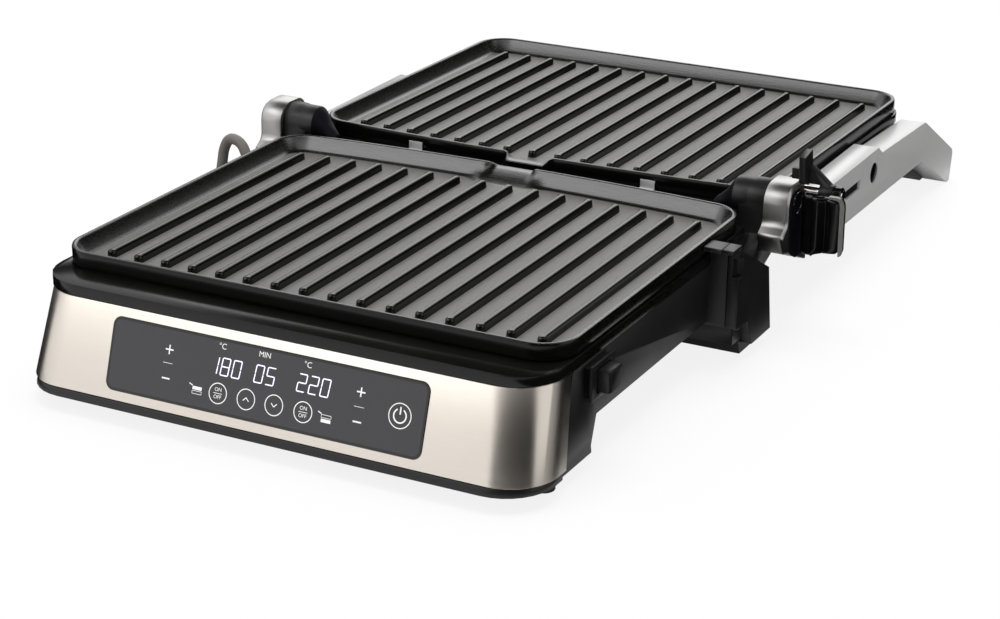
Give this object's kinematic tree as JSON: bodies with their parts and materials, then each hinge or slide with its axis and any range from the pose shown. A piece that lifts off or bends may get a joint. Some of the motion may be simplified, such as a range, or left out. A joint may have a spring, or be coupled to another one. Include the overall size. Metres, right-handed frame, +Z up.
{
  "type": "electric contact grill",
  "caption": "Electric contact grill lying open flat, with ribbed cast plates, a floating lid between two arms, and a drip tray.",
  "frame": {"origin": "on the table, under the middle of the grill's own extent without the cord", "axes": "+X to the user's right, +Y from the control panel to the handle, +Z up"},
  "size_m": [0.455, 0.5846, 0.1065],
  "materials": {
    "black_plastic": "fine matte grain, near black",
    "gloss_black": "polished black",
    "non_stick": "black non-stick coating, semi-gloss",
    "fascia_steel": "horizontal brushing, warm silver",
    "cover_steel": "brushed, warm silver",
    "cast_alloy": "satin die-cast",
    "bright_steel": "bright",
    "panel_glass": "dark touch panel, printed from behind",
    "rubber_black": "matte black",
    "cord_grey": "matte grey-brown jacket",
    "board": "green circuit board",
    "sheet_alloy": "bright sheet"
  },
  "bodies": {
    "base": {"base_shell": "black_plastic", "base_bottom_cover": "black_plastic", "steel_fascia": "fascia_steel", "fascia_trim": "black_plastic", "grease_chute": "black_plastic", "lower_latch_frame": "black_plastic", "lower_latch_spring": "bright_steel", "lower_plate": "non_stick", "lower_heater": "sheet_alloy", "lower_reflector": "sheet_alloy", "lower_thermostat": "cast_alloy", "lower_clip_left": "bright_steel", "lower_clip_right": "bright_steel", "base_deck": "black_plastic", "control_glass": "panel_glass", "display_module": "gloss_black", "control_board": "board", "hinge_pin_left": "bright_steel", "hinge_pin_right": "bright_steel", "front_foot_left": "rubber_black", "front_foot_right": "rubber_black", "rear_pad_left": "rubber_black", "rear_pad_right": "rubber_black", "strain_relief": "rubber_black", "mains_cord": "cord_grey", "cord_coil": "cord_grey", "plug_lead": "cord_grey", "mains_plug": "rubber_black"},
    "arms": {"knuckle_left": "cast_alloy", "knuckle_right": "cast_alloy", "knuckle_cap_left": "gloss_black", "knuckle_cap_right": "gloss_black", "arm_left": "cast_alloy", "arm_right": "cast_alloy", "pivot_pin_left": "bright_steel", "pivot_pin_right": "bright_steel", "handle_bar": "cast_alloy", "handle_grip": "black_plastic", "release_rod": "bright_steel"},
    "release_lever": {"release_lever": "gloss_black", "lever_trim": "bright_steel"},
    "height_cam": {"height_cam": "black_plastic"},
    "lid": {"lid_shell": "black_plastic", "lid_cover": "cover_steel", "lid_deck": "black_plastic", "upper_plate": "non_stick", "upper_heater": "sheet_alloy", "upper_reflector": "sheet_alloy", "upper_thermostat": "cast_alloy", "upper_clip_left": "bright_steel", "upper_clip_right": "bright_steel", "stop_pin_left": "bright_steel", "stop_pin_right": "bright_steel", "upper_latch_spring": "bright_steel"},
    "lower_button": {"lower_release_button": "gloss_black"},
    "upper_button": {"upper_release_button": "gloss_black"},
    "drip_tray": {"drip_tray": "black_plastic"}
  },
  "joints": [
    {"name": "upper_hinge", "type": "hinge", "parent": "base", "child": "arms", "pos_m": [-0.01515, -0.00904, 0.077], "axis": [1, 0, 0], "range_deg": [0, 180]},
    {"name": "lid_float", "type": "hinge", "parent": "arms", "child": "lid", "pos_m": [-0.01515, 0.13396, 0.051], "axis": [1, 0, 0], "range_deg": [-1.2, 1.6]},
    {"name": "release_lever", "type": "hinge", "parent": "arms", "child": "release_lever", "pos_m": [0.17385, -0.00054, 0.082], "axis": [1, 0, 0], "range_deg": [-20, 0], "stiffness_Nm_per_rad": 0.3, "springref_deg": 20.05},
    {"name": "height_cam", "type": "hinge", "parent": "arms", "child": "height_cam", "pos_m": [0.16885, -0.00054, 0.082], "axis": [1, 0, 0], "range_deg": [-90, 0]},
    {"name": "lower_release", "type": "slide", "parent": "base", "child": "lower_button", "axis": [-1, 0, 0], "range_m": [0, 0.0014], "stiffness_N_per_m": 400, "springref_m": -0.002, "deforming": ["lower_latch_spring"]},
    {"name": "upper_release", "type": "slide", "parent": "lid", "child": "upper_button", "axis": [0, -0.9999, 0.0166], "range_m": [0, 0.0025], "stiffness_N_per_m": 400, "springref_m": -0.002, "deforming": ["upper_latch_spring"]},
    {"name": "drip_tray_slide", "type": "slide", "parent": "base", "child": "drip_tray", "axis": [1, 0, 0], "range_m": [0, 0.31]}
  ]
}
